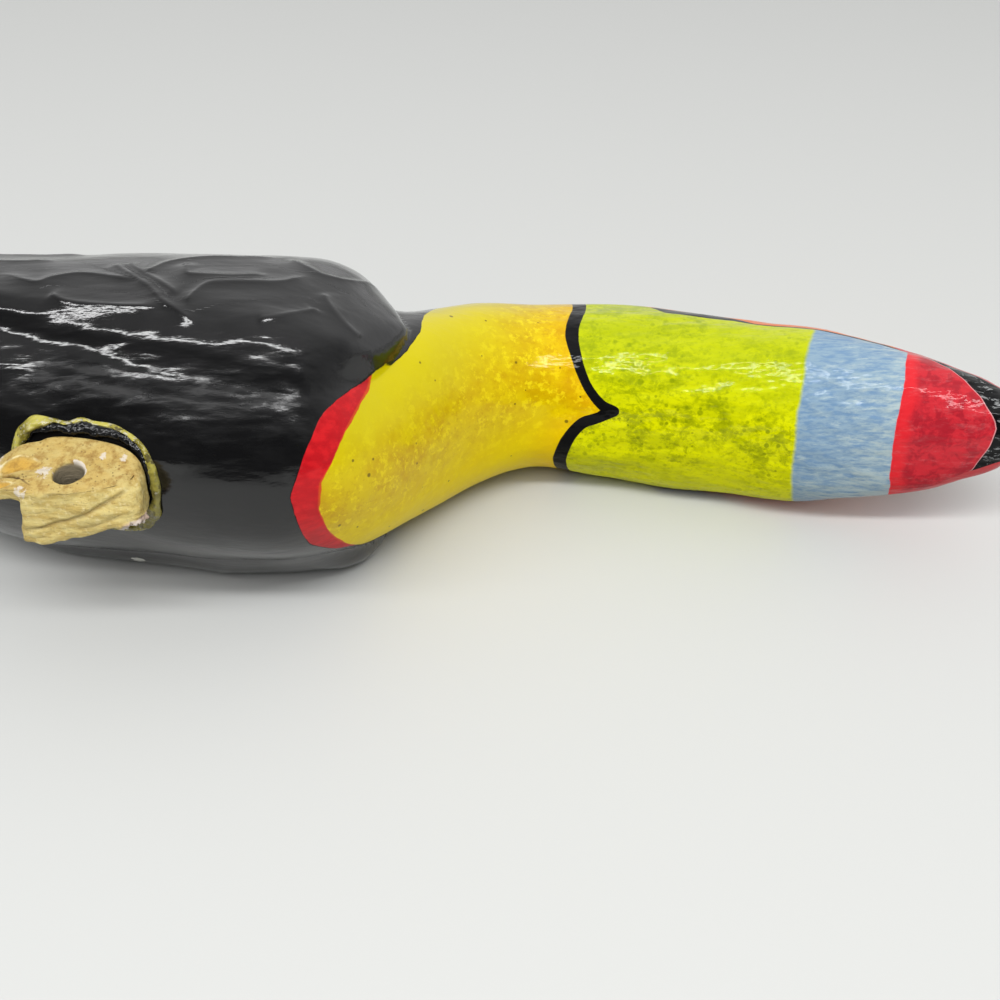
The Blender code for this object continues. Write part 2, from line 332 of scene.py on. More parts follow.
def birdSurface(x, degrees, extra=0):
    # an ellipse at each x, of another depth towards the belly, pushed along its normal by wing and relief
    f, angle = birdForm, np.radians(degrees)
    across, height, width, belly, back, turn = section(x)
    depth = belly + (back - belly) * (1 - np.cos(angle)) / 2
    fuller = 1 + f["undersideFullness"] * np.maximum(-np.sin(angle), 0) ** f["undersidePower"]
    out, side = depth * np.cos(angle), width * np.sin(angle) * fuller
    normalOut, normalSide = np.cos(angle) / depth, np.sin(angle) / width
    push = (wingRise(x, degrees) + extra) / np.hypot(normalOut, normalSide)
    out, side = out + push * normalOut, side + push * normalSide
    y = across - np.cos(turn) * out + np.sin(turn) * side
    z = height + np.sin(turn) * out + np.cos(turn) * side
    return np.stack([np.broadcast_to(x, y.shape), y, np.maximum(z - f["sunk"], 0)], axis=-1)


# Raised cords and grooves of the folded wing: (along, degrees from the belly) of each point
feathers = {
    "cords": [
        [(-103, 95), (-100, 90), (-95, 84), (-90.5, 79.5), (-85.5, 72.5), (-80, 67.5), (-76, 64)],
        [(-99, 96), (-95.5, 90), (-90.5, 84.5), (-86, 80), (-81.5, 75)],
        [(-79, 70), (-78, 75), (-75, 80.5), (-70, 82), (-63, 83), (-56, 84.5), (-50, 90)],
        [(-92, 86.5), (-90.5, 90.5), (-86.5, 95.5), (-76, 99.5), (-57, 104.5)],
        [(-83, 94), (-81.5, 87), (-78.5, 85.5), (-70, 85.5), (-60, 88)],
        [(-132, 86.5), (-121, 80), (-116, 83), (-109.5, 85.5), (-102, 84.5), (-94, 82)],
        [(-116, 74.5), (-110, 70.5), (-99, 69.5), (-85, 69.5)],
        [(-46.5, 82), (-44, 75), (-41, 69), (-38, 64.5), (-35.8, 62)],
        [(-58, 104), (-51, 95), (-46, 91.5), (-39, 93.5), (-34, 107.5)],
        [(-61, 65), (-54.5, 67.5), (-48.5, 71), (-47.5, 72.5)],
        [(-205, 112), (-180, 105), (-155, 99), (-132, 96), (-118, 98)],
        [(-200, 122), (-175, 118), (-150, 114), (-128, 112), (-112, 110)],
        [(-190, 132), (-165, 130), (-140, 129), (-110, 128), (-88, 122)],
        [(-150, 90), (-140, 84), (-132, 86)],
    ],
    "cordHeight": 0.3, "cordWidth": 1.1, "cordFade": 0.12,
    "filletHeight": 0.42, "filletWidth": 3.0,
    "margin": [(-160, 72), (-140, 69), (-128.5, 67.5), (-113.5, 63.5), (-99, 61), (-87.5, 59), (-75, 57.5),
               (-62, 54)],
    "marginHeight": 0.5, "marginWidth": 2.6, "marginFade": (0.2, 0.15),
    "radius": 44,  # of the body, to turn degrees into millimetres
    "leftSideShare": 0.7,
}


def featherRelief(x, degrees):
    # each line adds a narrow and a wide bell curve of its distance, faded at its ends
    f, relief, nearest, share = feathers, np.zeros(x.shape), np.full(x.shape, 9.0), np.zeros(x.shape)
    for side, amount in ((1, 1), (-1, f["leftSideShare"])):
        down = np.radians(side * degrees) * f["radius"]
        for line in f["cords"]:
            distance, along = lineDistance(x, down, unrolled(line, f["radius"]))
            fade = amount * fadedEnds(along, f["cordFade"], f["cordFade"])
            relief += fade * f["cordHeight"] * bell(distance, f["cordWidth"])
            relief += fade * f["filletHeight"] * bell(distance, f["filletWidth"])
            closer = np.abs(distance) < np.abs(nearest)
            nearest, share = np.where(closer, distance, nearest), np.where(closer, fade, share)
        distance, along = lineDistance(x, down, unrolled(f["margin"], f["radius"]))
        fade = amount * fadedEnds(along, *f["marginFade"])
        relief += fade * f["marginHeight"] * bell(distance, f["marginWidth"])
    return relief, nearest, share


paperSkin = {
    "lumpSize": 38, "lumpHeight": 0.3,
    "foldSize": 11, "foldHeight": 0.1,
    "wrinkleSize": 4.5, "wrinkleHeight": 0.035,
    "alongStretch": 3.0,
    "smoothShare": 0.3,  # of the folds and wrinkles on the wings, breast and underside
    "crinkleTop": 84, "wornTop": 60,  # degrees from the belly
    "flankFrom": 2, "flankRise": 22, "flankFall": 14,  # degrees
    "flankFront": -34, "flankFrontFade": 25,
    "beakCrinkles": [(1.1, 14, 10), (1.5, 122, 12)],  # amount, start, length of its rise
}


def flankShare(x, degrees, top):
    # 1 on the body's flank between the foot and the top angle, easing to 0 elsewhere
    p = paperSkin
    upwards = eased((degrees - p["flankFrom"]) / p["flankRise"]) * eased((top - degrees) / p["flankFall"])
    return upwards * eased((p["flankFront"] - x) / p["flankFrontFade"])


def crinkle(x, degrees):
    # 1 on the flank and the wing's lower edge, more on the beak, easing to the smooth share elsewhere
    p = paperSkin
    beak = sum(amount * eased((x - start) / length) for amount, start, length in p["beakCrinkles"])
    most = np.maximum(flankShare(x, degrees, p["crinkleTop"]), beak)
    return p["smoothShare"] + (1 - p["smoothShare"]) * most


def skinRelief(x, degrees):
    # hand-laid paper: long soft lumps, shorter folds and fine wrinkles, all drawn out along the bird
    p, smooth = paperSkin, birdSurface(x, degrees)
    along = (p["alongStretch"], 1, 1)
    folds = p["foldHeight"] * ripples(smooth, p["foldSize"], 12, along)
    wrinkles = p["wrinkleHeight"] * ripples(smooth, p["wrinkleSize"], 13, along)
    return p["lumpHeight"] * ripples(smooth, p["lumpSize"], 11) + (folds + wrinkles) * crinkle(x, degrees)


# Painted areas: (degrees from the belly, along) of their edges, and in another order where it says so
painted = {
    "breastEdge": [(-180, -34), (-70, -30), (-55, -36), (-43, -39.8), (-37.5, -44.5), (-26, -50.2),
                   (-9.5, -52), (3.5, -53), (20.5, -49), (35.5, -44.4), (40.5, -42), (46, -38.6),
                   (52.5, -33.8), (57.5, -29.2), (61.5, -25.6), (71.5, -22.1), (88, -21.4), (110, -18.4),
                   (180, -10)],
    "yellowEdge": [(-180, -60), (-50, -50), (-43, -39.8), (-36, -41.3), (-23, -44), (-4, -46.3), (8, -45.5),
                   (16.5, -42.3), (29, -39.2), (39, -36.4), (46, -34.6), (52.5, -33.8), (62, -45),
                   (180, -60)],
    "crown": [(-30, 112), (-18, 116), (0, 124), (12, 126), (24, 120)],  # along, degrees
    # degrees, share of the usual half width
    "strokeWidth": [(-180, 1.2), (-50, 1.2), (-26, 1.12), (-10, 1), (5, 0.85), (28, 0.85), (48, 1.15),
                    (60, 1.2)],
    "upperStroke": [(24.6, 180), (24.4, 130), (24.3, 100), (24, 80), (21.5, 54), (22.2, 35.5), (25.2, 15),
                    (29.6, 2), (33.6, -2.5)],  # along, degrees
    "lowerStroke": [(33.6, -2.5), (28.5, -8), (24.2, -13), (20.2, -26), (18.4, -42), (18.5, -55), (21, -80),
                    (24, -110), (24.6, -180)],  # along, degrees
    "beakEdge": [(-180, 24.6), (-110, 24), (-80, 21), (-55, 18.5), (-42, 18.4), (-26, 20.2), (-13, 24.2),
                 (-8, 28.5), (-2.5, 33.6), (2, 29.6), (15, 25.2), (35.5, 22.2), (54, 21.5), (80, 24),
                 (100, 24.3), (180, 24.6)],
    "tipOval": [(-120, 96), (-92, 108), (-77.5, 119.2), (-54, 135), (-18.5, 138), (4, 139), (12, 138.5),
                (38, 134.8), (68, 127.8), (82.5, 120.4), (95, 108), (120, 96)],
    # along, degrees
    "mouth": [(24, 112), (36, 104), (44, 94), (50, 87), (60, 86), (70, 86), (76, 82), (93, 83), (110, 82),
              (118, 77), (126, 71.5), (134, 64), (153, 64)],
    # along, half width of the black line; none where it is below 0
    "mouthInk": [(45, -1), (49, 3), (62, 3), (72, 1.2), (76, 0.4), (93, 0.5), (100, 0.8), (112, 0.8),
                 (120, -0.5), (153, -1)],
    "mouthLean": 10,  # degrees by which the mouth's line lies higher on the right side at the tip
    "bandSlope": (0.93, -0.33, 0.1),
    "neckRadius": 26,
    "strokeSamples": 160,
    "crownEnd": 24, "mouthLeanStart": 112, "mouthLeanLength": 22,
    "eye": (9, 136),  # along, degrees; one on each side
    "chips": [(-105, -62.5, 1.7), (-102.6, -62, 1)],  # along, degrees, radius
}


def pastEdge(x, degrees, radius, line):
    # how far x lies past the line, measured square to it
    slope = (straight(degrees + 1, line) - straight(degrees - 1, line)) / (2 * np.radians(1) * radius)
    return (x - straight(degrees, line)) / np.sqrt(1 + slope ** 2)


def paintDistances(x, degrees, points):
    # millimetres from each grid point to the edges of the painted areas
    p = painted
    _, _, width, belly, back, _ = section(x)
    radius = (width + (belly + back) / 2) / 2
    down = np.radians(degrees) * p["neckRadius"]
    strokes = [np.abs(lineDistance(x, down, unrolled(p[line], p["neckRadius"]), p["strokeSamples"])[0])
               for line in ("upperStroke", "lowerStroke")]
    breast = pastEdge(x, degrees, radius, p["breastEdge"])
    crown = np.radians(straight(x, p["crown"]) - np.abs(degrees)) * radius
    lean = p["mouthLean"] * eased((x - p["mouthLeanStart"]) / p["mouthLeanLength"])
    mouth = np.radians(np.abs(degrees - lean) - straight(x, p["mouth"])) * radius
    chip = np.full(x.shape, 9.0)
    for a, d, size in p["chips"]:
        chip = np.minimum(chip, np.hypot(x - a, np.radians(degrees - d) * radius) / size)
    return {
        "breast": np.where(x < p["crownEnd"], np.minimum(breast, crown), breast),
        "yellow": pastEdge(x, degrees, radius, p["yellowEdge"]),
        "stroke": np.minimum(*strokes) / straight(degrees, p["strokeWidth"]),
        "beak": x - straight(degrees, p["beakEdge"]),
        "band": points @ np.array(p["bandSlope"]),
        "tipOval": -pastEdge(x, degrees, radius, p["tipOval"]),
        "mouth": mouth,
        "mouthInk": straight(x, p["mouthInk"]) - np.abs(mouth),
        "culmen": np.radians(180 - np.abs(degrees)) * radius,
        "eye": np.hypot(x - p["eye"][0], np.radians(np.abs(degrees) - p["eye"][1]) * radius),
        "chip": chip,
        "height": points[..., 2],
    }


def buildBird():
    f = birdForm
    x = spaced(tailEnd, beakEnd, f["rows"], f["closerRows"])[:, None]
    degrees = spaced(-180, 180, f["columns"] + 1, f["closerColumns"])[None, :-1]
    x, degrees = np.broadcast_arrays(x, degrees)
    atTail = eased((x - f["reliefStart"]) / f["reliefRise"])
    atBeak = eased((f["reliefEnd"] - x) / f["reliefFall"])
    ridges, cordDistance, cordShare = featherRelief(x, degrees)
    points = birdSurface(x, degrees, (ridges + skinRelief(x, degrees)) * (atTail * atBeak))
    piece = gridPiece("paintedBird", points + shift, False)
    storeValues(piece, cord=cordDistance, cordShare=cordShare, crinkle=crinkle(x, degrees),
                flank=flankShare(x, degrees, paperSkin["wornTop"]),
                **paintDistances(x, degrees, birdSurface(x, degrees)))
    return piece


birdColors = {
    "black": rgb(11, 11, 12),
    "yellow": rgb(202, 176, 2), "yellowDeep": rgb(192, 158, 0), "yellowLight": rgb(214, 190, 4),
    "ochre": rgb(176, 136, 2), "yellowDab": rgb(222, 202, 16), "yellowLowPaintedLight": rgb(232, 206, 0),
    "lemonTopPaintedLight": rgb(196, 182, 2), "yellowOrange": rgb(216, 150, 0),
    "bib": rgb(198, 28, 34), "bibDeep": rgb(176, 20, 28), "bibEdge": rgb(206, 96, 10),
    "lime": rgb(206, 208, 0), "limeDeep": rgb(186, 190, 0), "limeLight": rgb(214, 218, 14),
    "limeTopPaintedShade": rgb(150, 168, 2),
    "limeLowPaintedLight": rgb(206, 208, 2),
    "olive": rgb(110, 122, 0),
    "blue": rgb(130, 154, 172), "blueDeep": rgb(106, 136, 166), "blueLight": rgb(170, 184, 182),
    "crimson": rgb(188, 40, 50), "crimsonDeep": rgb(158, 30, 42), "scarlet": rgb(206, 38, 46),
    "tipRed": rgb(188, 62, 66),
    "pinkLine": rgb(206, 150, 152), "orange": rgb(214, 104, 26), "umber": rgb(64, 46, 6),
    "chip": rgb(205, 205, 195), "rubbed": rgb(70, 72, 76), "scuffAndGlint": rgb(136, 138, 138),
    "eyeRing": rgb(136, 170, 190),
    "edge": 0.12,  # half the softness of a painted edge, mm
    "strokeHalf": 1.7, "strokeWobble": 0.35,
    "greenEnd": 81.0, "blueEnd": 107.8, "scarletEnd": 111.6,  # along the beak, square to the bands
    "upperEnd": 104,  # where the upper half of the beak turns red
    "ridgeHalf": 11.5,  # half width of the lime ridge on top of the beak
    "pupilRadius": 3, "ringRadius": 5.2,
}


def paintBird():
    c, g = birdColors, Finish("birdPaint")
    place, along, fibre = g.place(1, 1, 1), g.place(0.3, 1, 1), g.place(0.12, 1, 1)
    slow = g.sum("SUBTRACT", g.noise(place, 70, 1), 0.5)
    quick = g.sum("SUBTRACT", g.noise(place, 300, 2), 0.5)
    wobble = g.sum("ADD", g.times(slow, 1.6), g.times(quick, 0.7))

    def past(name, at=0.0, wobbly=1.0, soft=c["edge"]):
        value = g.sum("ADD", g.value(name), g.times(wobble, wobbly))
        return g.step(value, at - soft, at + soft)

    def within(value, reach, soft=0.1):
        return g.step(value, reach + soft, reach - soft)

    mottle, fine = g.noise(place, 95, 3, 0.55), g.noise(along, 420, 4, 0.6)
    streak = g.noise(fibre, 520, 3, 0.6)
    darkSpecks, _ = g.spots(place, 180, 0.13, 0.8)
    bubbles, tone = g.spots(place, 300, 0.36, 0.8)
    speckles, depth = g.spots(place, 560, 0.44, 0.9)
    alongBeak = g.step(g.value("beak"), 0, 60, -0.08, 0.05)
    crowd = g.step(g.sum("SUBTRACT", g.noise(place, 55, 3), alongBeak), 0.36, 0.54)
    blotch = g.noise(place, 260, 4, 0.65, 0.4)

    yellow = g.mix(g.step(mottle, 0.38, 0.62), c["yellowDeep"], c["yellow"])
    yellow = g.over(yellow, c["yellowLight"], fine, 0.45, 0.8, 0.7)
    yellow = g.over(yellow, c["ochre"], g.noise(place, 240, 5, 0.72), 0.47, 0.64, 0.55)
    yellow = g.over(yellow, c["yellowDab"], g.noise(place, 430, 4, 0.7), 0.52, 0.62, 0.75)
    yellow = g.over(yellow, c["ochre"], g.noise(place, 640, 4, 0.7), 0.55, 0.66, 0.5)
    # painted light: the top of the breast, away from the beak, takes a paler lemon tone for the light falling
    # on it from above
    upperBreastPaintedLight = g.times(g.step(g.value("height"), 40, 62), g.step(g.value("beak"), -8, -30))
    yellow = g.mix(upperBreastPaintedLight, yellow, c["lemonTopPaintedLight"])
    # painted light: the yellow turns brighter towards the table, standing in for light bounced up from it
    yellow = g.over(yellow, c["yellowLowPaintedLight"], g.value("height"), 40, 18, 0.85)
    yellow = g.over(yellow, c["yellowOrange"], g.value("beak"), -16, -1, 0.28)
    bib = g.mix(g.step(fine, 0.4, 0.65), c["bibDeep"], c["bib"])
    bib = g.over(bib, c["bibEdge"], g.sum("ABSOLUTE", g.value("yellow")), 0.6, 0.1, 0.5)
    breast = g.mix(past("yellow"), bib, yellow)
    breast = g.mix(g.times(darkSpecks, 0.75), breast, c["umber"])

    lime = g.mix(g.step(g.noise(along, 150, 4, 0.65), 0.36, 0.56), c["limeDeep"], c["lime"])
    lime = g.over(lime, c["limeLight"], streak, 0.5, 0.8, 0.7)
    lime = g.mix(g.times(bubbles, crowd, g.step(tone, 0, 1, 0.2, 0.75)), lime, c["olive"])
    lime = g.mix(g.times(speckles, crowd, g.step(depth, 0, 1, 0.15, 0.75)), lime, c["olive"])
    lime = g.mix(g.times(g.step(fine, 0.47, 0.36), crowd, 0.45), lime, c["olive"])
    smudge = g.step(g.noise(place, 200, 5, 0.75, 0.5), 0.47, 0.63)
    lime = g.mix(g.times(smudge, g.sum("ADD", g.times(crowd, 0.5), 0.14)), lime, c["olive"])
    lime = g.over(lime, c["olive"], g.noise(g.place(0.7, 1, 1), 760, 3, 0.65), 0.5, 0.66, 0.4)
    # painted shade: the beak's green turns darker and duller towards its top, against the light from above
    lime = g.over(lime, c["limeTopPaintedShade"], g.value("height"), 30, 52, 0.55)
    # painted light: the green turns brighter towards the table, standing in for light bounced up from it
    lime = g.over(lime, c["limeLowPaintedLight"], g.value("height"), 26, 10, 0.5)
    bristle = g.place(0.2, 1, 1)
    blue = g.mix(g.step(g.noise(bristle, 1150, 3, 0.6), 0.36, 0.62), c["blueDeep"], c["blue"])
    towardsRed = g.step(g.value("band"), c["greenEnd"], c["blueEnd"], -0.07, 0.06)
    whitishStreaksAndLowLight = g.sum("ADD", g.noise(bristle, 620, 5, 0.75), towardsRed)
    # painted light: the height term whitens the blue towards the table, standing in for light bounced up from
    # it
    whitishStreaksAndLowLight = g.sum("ADD", whitishStreaksAndLowLight, g.step(g.value("height"), 30, 10, -0.03, 0.1))
    blue = g.over(blue, c["blueLight"], whitishStreaksAndLowLight, 0.42, 0.68, 0.8)
    tip = g.mix(g.step(blotch, 0.42, 0.58), c["crimsonDeep"], c["crimson"])
    tip = g.mix(past("band", c["scarletEnd"], 4, 1.6), c["scarlet"], tip)
    tip = g.over(tip, c["pinkLine"], g.noise(along, 480, 5, 0.75), 0.5, 0.75, 0.16)

    beak = g.mix(past("band", c["greenEnd"], 1.3, 0.7), lime, blue)
    beak = g.mix(past("band", c["blueEnd"], 1, 0.15), beak, tip)
    onRed = g.step(g.value("band"), c["blueEnd"], c["blueEnd"] + 0.5)
    rim = g.times(g.step(g.value("tipOval"), 0.4, 0.2), onRed)
    beak = g.mix(g.times(rim, 0.8), beak, c["pinkLine"])
    # pale streaks on the black tip: partly scuffed paint, partly a painted highlight of its crinkled varnish
    scuffsAndGlints = g.times(g.step(g.noise(g.place(0.4, 1, 1), 620, 4, 0.72, 0.4), 0.54, 0.61), 0.85)
    tipBlack = g.mix(scuffsAndGlints, c["black"], c["scuffAndGlint"])
    beyondBlue = g.step(g.value("band"), c["upperEnd"], c["upperEnd"] + 1)
    beak = g.mix(g.times(within(g.value("tipOval"), 0.02), beyondBlue), beak, tipBlack)
    upper = g.mix(within(g.value("culmen"), c["ridgeHalf"], 0.5), c["orange"], c["lime"])
    upper = g.mix(past("band", c["upperEnd"], 1, 0.2), upper, c["tipRed"])
    beak = g.mix(g.step(g.value("mouth"), -0.1, 0.1), beak, upper)
    beak = g.mix(past("mouthInk", 0, 0.3), beak, c["black"])

    eye = g.mix(within(g.value("eye"), c["pupilRadius"]), c["eyeRing"], c["black"])
    body = g.mix(within(g.value("eye"), c["ringRadius"]), c["black"], eye)
    rubbed = g.times(g.step(g.noise(fibre, 230, 5, 0.7), 0.52, 0.68), g.step(g.value("height"), 26, 14), 0.3)
    body = g.mix(rubbed, body, c["rubbed"])
    body = g.mix(g.step(g.sum("ADD", g.value("chip"), g.times(quick, 2.5)), 1.0, 0.85), body, c["chip"])
    colour = g.mix(past("breast"), body, breast)
    colour = g.mix(g.step(g.value("beak"), -0.1, 0.1), colour, beak)
    stroke = g.sum("ADD", g.value("stroke"), g.times(wobble, c["strokeWobble"]))
    colour = g.mix(within(stroke, c["strokeHalf"]), colour, c["black"])

    onBeak = g.step(g.value("beak"), -20, 2)
    dents = g.times(g.noise(g.place(0.55, 1, 1), 250, 2), g.sum("ADD", g.times(onBeak, 0.9), 0.14))
    varnish = g.noise(g.place(0.3, 1, 1), 260, 1, 0.5, 0.3)
    brushed = g.noise(g.place(0.3, 1, 1), 540, 3, 0.65)
    normal = g.bump(g.sum("ADD", g.times(varnish, g.value("crinkle"), 0.6), dents), 0.00055)
    normal = g.bump(brushed, 0.00008, normal)
    sharpCord = g.times(g.value("cordShare"), g.step(g.sum("ABSOLUTE", g.value("cord")), 1.1, 0.0))
    normal = g.bump(sharpCord, 0.0001, normal)
    tint = g.mix(0.95, rgb(255, 255, 255), colour)
    black = g.step(g.value("breast"), 0.0, -0.2)
    worn = g.times(g.step(g.noise(g.place(0.4, 1, 1), 80, 5, 0.65), 0.6, 0.44), g.value("flank"), black)
    rough = g.sum("ADD", g.step(black, 0, 1, 0.3, 0.13), g.times(worn, 0.17))
    low = g.times(g.step(g.value("height"), 42, 20), g.sum("SUBTRACT", 1, black))
    thin = g.step(low, 0, 1, 1, 0.22)  # the varnish on the colours is thinner near the table
    coat = g.times(g.step(black, 0, 1, 0.38, 0.27), g.step(worn, 0, 1, 1, 0.1), thin)
    g.surface(Specular_IOR_Level=g.times(g.step(black, 0, 1, 0.26, 0.5), g.step(worn, 0, 1, 1, 0.28), thin))
    g.surface(Base_Color=colour, Roughness=rough, Specular_Tint=g.mix(black, tint, rgb(255, 255, 255)),
              Coat_Weight=coat, Coat_Roughness=g.step(black, 0, 1, 0.05, 0.1), Normal=normal)
    g.put(g.shader.inputs["Coat Normal"], normal)
    return g.material


# shift carries the bird's own frame into the CAD's: tail ends meet, and the middles across agree
birdLow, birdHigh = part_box("bird")
tailEnd, beakEnd = birdForm["stations"][0][0], birdForm["stations"][-1][0]
shift = np.array([birdLow.x / mm - tailEnd, 0, 0])
ownPoints = birdSurface(np.linspace(tailEnd, beakEnd, 400)[:, None], np.linspace(-180, 180, 361)[None, :])
shift[1] = (birdLow.y + birdHigh.y) / 2 / mm - (ownPoints[..., 1].min() + ownPoints[..., 1].max()) / 2
bird = buildBird()
bird.data.materials.append(paintBird())
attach(bird, "root")
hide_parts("bird")
print("bird: skin, wings and paint,", len(bird.data.polygons), "faces")


# The foot of modelling paste, in its own frame: along the bird, out from the belly, and sideways (+ is up)
footForm = {
    "centre": (5, 43.1), "turn": 6,
    "boreAlong": -106, "boreOut": 48.6, "boreRadius": 3.55,
    "tailEnd": -118, "frontEnd": -88.6, "base": 38, "sole": 55,
    # out, side
    "upperSide": [(38, 14.2), (40, 13.6), (42, 12.6), (45, 11.1), (49, 10), (53, 9), (55, 8.4)],
    # along, side
    "lowerSide": [(-119, 7.4), (-113.8, 7), (-107.3, 6), (-100.7, 4.3), (-95, 2.5), (-88, 1.6)],
    "lowerSpread": 3.5, "lowerSetBack": 0.22,
    "squareness": 4, "tailSquareness": 9,
    "sideFlatness": 0.26, "boreFlatness": 0.1, "outerFlatness": (0.28, 0.55),
    "toeReach": 10, "toeLength": 5, "toeInnerSide": 4.4, "toeRange": (40, 54), "toeRound": 1.5,
    "toeDroop": 0.25,
    "baseDepth": 7, "gap": 0.36,
    # the sole turns upwards at its front end, above this side, and over this depth
    "soleTurn": 0.5, "soleTurnFrom": -106, "soleTurnLength": 16, "soleTurnSide": 2, "soleTurnDepth": 8,
    "roundBore": 320, "roundWall": 150, "upSole": 60, "soleReach": 0.97,
    "toeCrack": [(-132, 47.6), (-124, 48.2), (-119, 49.4), (-116, 50.6)],  # along, out
    "crackDepth": 1.6, "crackWidth": 0.4,
    # along, out, half length, half width, depth
    "nails": [(-119.5, 45.6, 4.6, 2.2, 0.6), (-122, 51.8, 2.6, 1, 0.5)],
    "creases": [[(-119, -3.4), (-110.6, -1.2), (-105, 0.6), (-99.9, 2.8), (-95, 5.2), (-90.5, 7.4)],
                [(-105, -2.6), (-98, -0.8), (-92, 1.6)]],  # along, side
    "creaseDepth": 0.6, "creaseWidth": 0.6,
    "creaseShares": (1, 0.5), "creaseFade": 0.12, "creaseFrom": 45, "creaseRise": 4,  # out, where they start
    # height, size, seed, stretch
    "lumps": [(0.22, 9, 21, (1, 1, 1)), (0.08, 3.4, 22, (1, 1, 1)), (0.05, 2.2, 25, (4, 1, 1))],
    "brokenCorner": (-91, 51, -2.2), "brokenSize": (4.4, 3.6, 1.9),  # along, out, side
    "brokenRipples": [(0.5, 2.6, 23), (0.3, 1.2, 24)], "brokenLift": 0.5,  # height, size, seed
    "crackEnd": -114.5, "crackFade": 4, "crackSide": 1, "crackRise": 3,
    "nailSide": 5.5, "nailRise": 2,
    "rimTurn": -35, "rimGap": 0.4, "rimWidth": 0.7, "rimSide": 6.5, "rimRise": 1.5,
    "dentFrom": 4, "dentRise": 5,  # no dents or lumps near the belly
    "patches": [(-112.2, 48.4, 9.6, 1.8), (-98.2, 43.6, 12, 0.9), (-93.3, 44.2, 11.4, 0.9),
                (-116.6, 53.6, 7.6, 1.4)],  # of bare plaster: along, out, side, size
}


def bellyOut(x, side):
    # how far out of the foot's frame the belly's skin lies: centre + depth * sqrt(1 - (side / width)^2)
    f = footForm
    across, height, width, belly, _, _ = section(x)
    y, z, turn = across - f["centre"][0], height - f["centre"][1], math.radians(f["turn"])
    centreOut = -math.cos(turn) * y + math.sin(turn) * z
    centreSide = math.sin(turn) * y + math.cos(turn) * z
    return centreOut + belly * np.sqrt(1 - ((side - centreSide) / width) ** 2)


def fromFootFrame(x, out, side):
    f, turn = footForm, math.radians(footForm["turn"])
    y = f["centre"][0] - math.cos(turn) * out + math.sin(turn) * side
    z = f["centre"][1] + math.sin(turn) * out + math.cos(turn) * side
    return np.stack([x, y, z - birdForm["sunk"]], axis=-1)


def roundedRectangle(c, s, halfLength, halfWidth, squareness):
    # distance to a superellipse in the direction with this cosine and sine
    return (np.abs(c / halfLength) ** squareness + np.abs(s / halfWidth) ** squareness) ** (-1 / squareness)


def footGrid(around, across):
    # a ring of paste round the bore: around is the angle about the bore, across goes round its wall
    f = footForm
    c, s = np.cos(around), np.sin(around)
    ahead = np.where(c > 0, f["frontEnd"] - f["boreAlong"], f["boreAlong"] - f["tailEnd"])
    outward = np.where(s > 0, f["sole"] - f["boreOut"], f["boreOut"] - f["base"])
    squareness = f["squareness"] + (f["tailSquareness"] - f["squareness"]) * eased(-2 * c) * eased(2 * s)
    reach = roundedRectangle(c, s, ahead, outward, squareness)
    middle, half = (reach + f["boreRadius"]) / 2, (reach - f["boreRadius"]) / 2
    ca, sa = np.cos(across), np.sin(across)
    atSole, atFront = f["outerFlatness"]
    outer = atSole + (atFront - atSole) * np.maximum(c, 0) ** 2
    bulge = np.sign(ca) * np.abs(ca) ** np.where(ca > 0, outer, f["boreFlatness"])
    radial = middle + half * bulge
    x, out = f["boreAlong"] + radial * c, f["boreOut"] + radial * s
    lower = through(x, f["lowerSide"]) + f["lowerSpread"] * (f["sole"] - out) / (f["sole"] - f["base"])
    side = np.where(sa > 0, through(out, f["upperSide"]), lower)
    side = side * np.sign(sa) * np.abs(sa) ** f["sideFlatness"]
    x = x + f["lowerSetBack"] * np.minimum(side, 0) * (1 + bulge) / 2
    toes = eased((f["tailEnd"] + f["toeLength"] - x) / f["toeLength"])
    toes = toes * eased((side - f["toeInnerSide"]) / f["toeRound"])
    toes = toes * eased((out - f["toeRange"][0]) / f["toeRound"])
    toes = toes * eased((f["toeRange"][1] - out) / f["toeRound"])
    x = x - f["toeReach"] * toes
    side = side * (1 - f["toeDroop"] * eased((f["tailEnd"] - x) / f["toeReach"]) * (side > 0))
    turned = eased((x - f["soleTurnFrom"]) / f["soleTurnLength"]) * np.maximum(side - f["soleTurnSide"], 0)
    out = out - f["soleTurn"] * turned * eased((out - f["base"] - f["baseDepth"]) / f["soleTurnDepth"])
    near = eased((f["base"] + f["baseDepth"] - out) / f["baseDepth"])
    out = out + near * (bellyOut(x, side) + f["gap"] - f["base"])
    return x, out, side, radial, bulge


